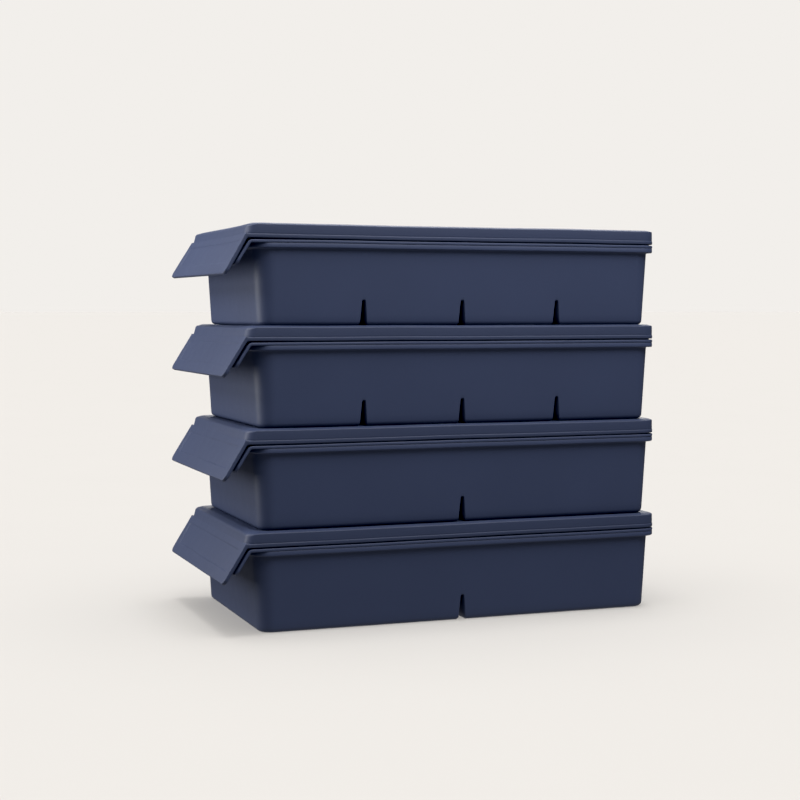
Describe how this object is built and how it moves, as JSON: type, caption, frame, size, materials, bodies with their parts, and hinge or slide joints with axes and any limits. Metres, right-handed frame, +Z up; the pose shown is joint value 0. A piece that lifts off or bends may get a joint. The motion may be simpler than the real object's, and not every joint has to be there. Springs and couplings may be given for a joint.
{
  "type": "stack of lidded compartment trays",
  "caption": "Stack of soft-moulded compartment trays with lift-off lids, folding grooves under the dividers, steel-stiffened rims and full-width pull tabs.",
  "frame": {"origin": "middle of the whole stack's box in plan, at the bottom tray's foot", "axes": "+X along the trays' length, away from the pull tabs; +Y across their width; +Z up"},
  "size_m": [0.261, 0.129, 0.2205],
  "materials": {
    "tray_silicone": "satin navy moulded silicone with a fine even grain",
    "lid_silicone": "satin navy moulded silicone with a fine even grain",
    "rim_wire_steel": "drawn stainless wire"
  },
  "bodies": {
    "tray_1": {"tray_1_body": "tray_silicone", "tray_1_rim_wire": "rim_wire_steel"},
    "lid_1": {"lid_1": "lid_silicone"},
    "tray_2": {"tray_2_body": "tray_silicone", "tray_2_rim_wire": "rim_wire_steel"},
    "lid_2": {"lid_2": "lid_silicone"},
    "tray_3": {"tray_3_body": "tray_silicone", "tray_3_rim_wire": "rim_wire_steel"},
    "lid_3": {"lid_3": "lid_silicone"},
    "tray_4": {"tray_4_body": "tray_silicone", "tray_4_rim_wire": "rim_wire_steel"},
    "lid_4": {"lid_4": "lid_silicone"}
  },
  "joints": [
    {"name": "lid_1_lift", "type": "slide", "parent": "tray_1", "child": "lid_1", "axis": [0, 0, 1], "range_m": [0, 0.08]},
    {"name": "tray_2_lift", "type": "slide", "parent": "lid_1", "child": "tray_2", "axis": [0, 0, 1], "range_m": [0, 0.08]},
    {"name": "lid_2_lift", "type": "slide", "parent": "tray_2", "child": "lid_2", "axis": [0, 0, 1], "range_m": [0, 0.08]},
    {"name": "tray_3_lift", "type": "slide", "parent": "lid_2", "child": "tray_3", "axis": [0, 0, 1], "range_m": [0, 0.08]},
    {"name": "lid_3_lift", "type": "slide", "parent": "tray_3", "child": "lid_3", "axis": [0, 0, 1], "range_m": [0, 0.08]},
    {"name": "tray_4_lift", "type": "slide", "parent": "lid_3", "child": "tray_4", "axis": [0, 0, 1], "range_m": [0, 0.08]},
    {"name": "lid_4_lift", "type": "slide", "parent": "tray_4", "child": "lid_4", "axis": [0, 0, 1], "range_m": [0, 0.08]}
  ]
}
